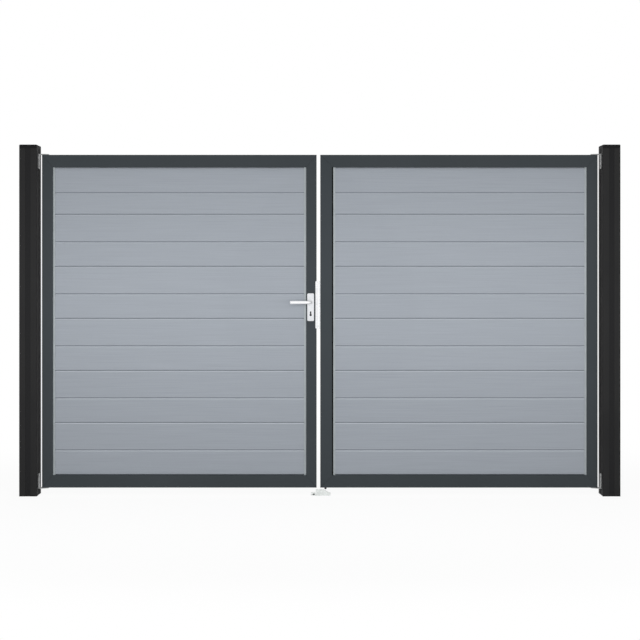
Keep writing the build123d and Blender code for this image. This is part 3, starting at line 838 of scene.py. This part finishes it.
for side, uprights in (
    ("left", ("left_hinge_stile", "left_lock_stile")),
    ("right", ("right_meeting_stile", "right_hinge_stile")),
):
    first, second = (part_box(upright) for upright in uprights)
    bottom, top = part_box(f"{side}_bottom_rail"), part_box(f"{side}_top_rail")
    lines = []
    for y in (bottom[0].y, bottom[1].y):
        for x_out, x_in in ((first[0].x, first[1].x), (second[1].x, second[0].x)):
            for z_out, z_in in ((bottom[0].z, bottom[1].z), (top[1].z, top[0].z)):
                outer, inner = Vector((x_out, y, z_out)), Vector((x_in, y, z_in))
                lines.append((outer.lerp(inner, SEAM_INSET), inner.lerp(outer, SEAM_INSET)))
    run_bead(
        f"{side}_mitre_seams", lines, SEAM_RADIUS, SEAM_SIDES, "bush_plastic", f"{side}_leaf"
    )

# %% [markdown]
# ## Shade bead in the shadow line
# The rebate beside the right leaf's boards is closed by a black rubber bead, which darkens the shadow
# line as painted shade. A flat strip would do from the front. A round bead, set back in the rebate, also
# looks right from the side, because its flanks fall into shadow.

# %% Shadow line shade bead
SHADE_BEAD_RADIUS = 0.0031
SHADE_BEAD_SIDES = 12
SHADE_BEAD_SET_BACK = 0.0048
SHADOW_LINE_WIDTH = 0.007

low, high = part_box("right_meeting_stile")
shade_bead_x = high.x - SHADOW_LINE_WIDTH / 2
shade_bead_low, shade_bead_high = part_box("right_bottom_rail")[1].z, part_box("right_top_rail")[0].z
# the black bead is painted shade in the rebate of the shadow line
lines = [
    ((shade_bead_x, y, shade_bead_low), (shade_bead_x, y, shade_bead_high))
    for y in (low.y + SHADE_BEAD_SET_BACK, high.y - SHADE_BEAD_SET_BACK)
]
run_bead(
    "shadow_line_gasket", lines, SHADE_BEAD_RADIUS, SHADE_BEAD_SIDES, "gasket_rubber", "right_leaf"
)

# %% [markdown]
# ## Turned fittings
# The collar round each lever's neck and the grip on the drop bolt's handle are turned shapes. A Screw
# modifier could spin a profile; rings of points about an axis do the same and can be hung on any
# direction.

# %% Turned shapes
TURNED_POINTS = 40


def turned(name, profile, start, way, closed):
    """A profile of (radius, distance along) points, spun about an axis through start."""
    form = bmesh.new()
    upright = Vector((0, 0, 1)).rotation_difference(Vector(way))
    rings = []
    for radius, along in profile:
        points = []
        for step in range(TURNED_POINTS):
            turn = 2 * math.pi * step / TURNED_POINTS
            spun = Vector((radius * math.cos(turn), radius * math.sin(turn), along))
            points.append(form.verts.new(upright @ spun + Vector(start)))
        rings.append(points)
    skin(form, rings, closed)
    return settled(form, name)


print("turned shapes have", TURNED_POINTS, "points to a ring")

# %% [markdown]
# ## Lever collars
# A thin ring closes the joint between the lever's neck and its plate. It could be cut with the plate, but
# on the real set it is a ring of its own. It stays with the plate and leaves the neck room to turn in it.

# %% Lever collars
COLLAR = [(0.0094, 0), (0.0135, 0), (0.0135, 0.002), (0.0125, 0.003), (0.0094, 0.003)]
spindle_x, _, spindle_z = pivots["lever_turn"]
for face, way in (("front", -1), ("back", 1)):
    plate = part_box(f"{face}_handle_plate")
    plate_y = plate[0].y if way < 0 else plate[1].y
    collar = turned(f"{face}_collar", COLLAR, (spindle_x, plate_y, spindle_z), (0, way, 0), True)
    fit(f"{face}_lever_collar", collar, "stainless_steel", "left_leaf")

# %% [markdown]
# ## Grip on the drop bolt
# The bent end of the rod wears a black plastic grip with a rounded end. A copy of the rod, made fatter,
# would end flat; the turned profile rounds the end and draws the open side in. It is hung on the rod's own
# box and moves with the rod.

# %% Drop bolt grip
ROD_RADIUS = 0.006
GRIP = [(0.0066, 0), (0.0078, 0.0015), (0.0078, 0.032), (0.0072, 0.0345), (0.0055, 0.036)]
GRIP_PAST_END = 0.0015

_, rod_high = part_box("drop_rod")
grip_start = (rod_x, rod_high.y + GRIP_PAST_END - GRIP[-1][1], rod_high.z - ROD_RADIUS)
grip = turned("grip", GRIP, grip_start, (0, 1, 0), False)
fit("drop_bolt_grip", grip, "bush_plastic", "drop_bolt")
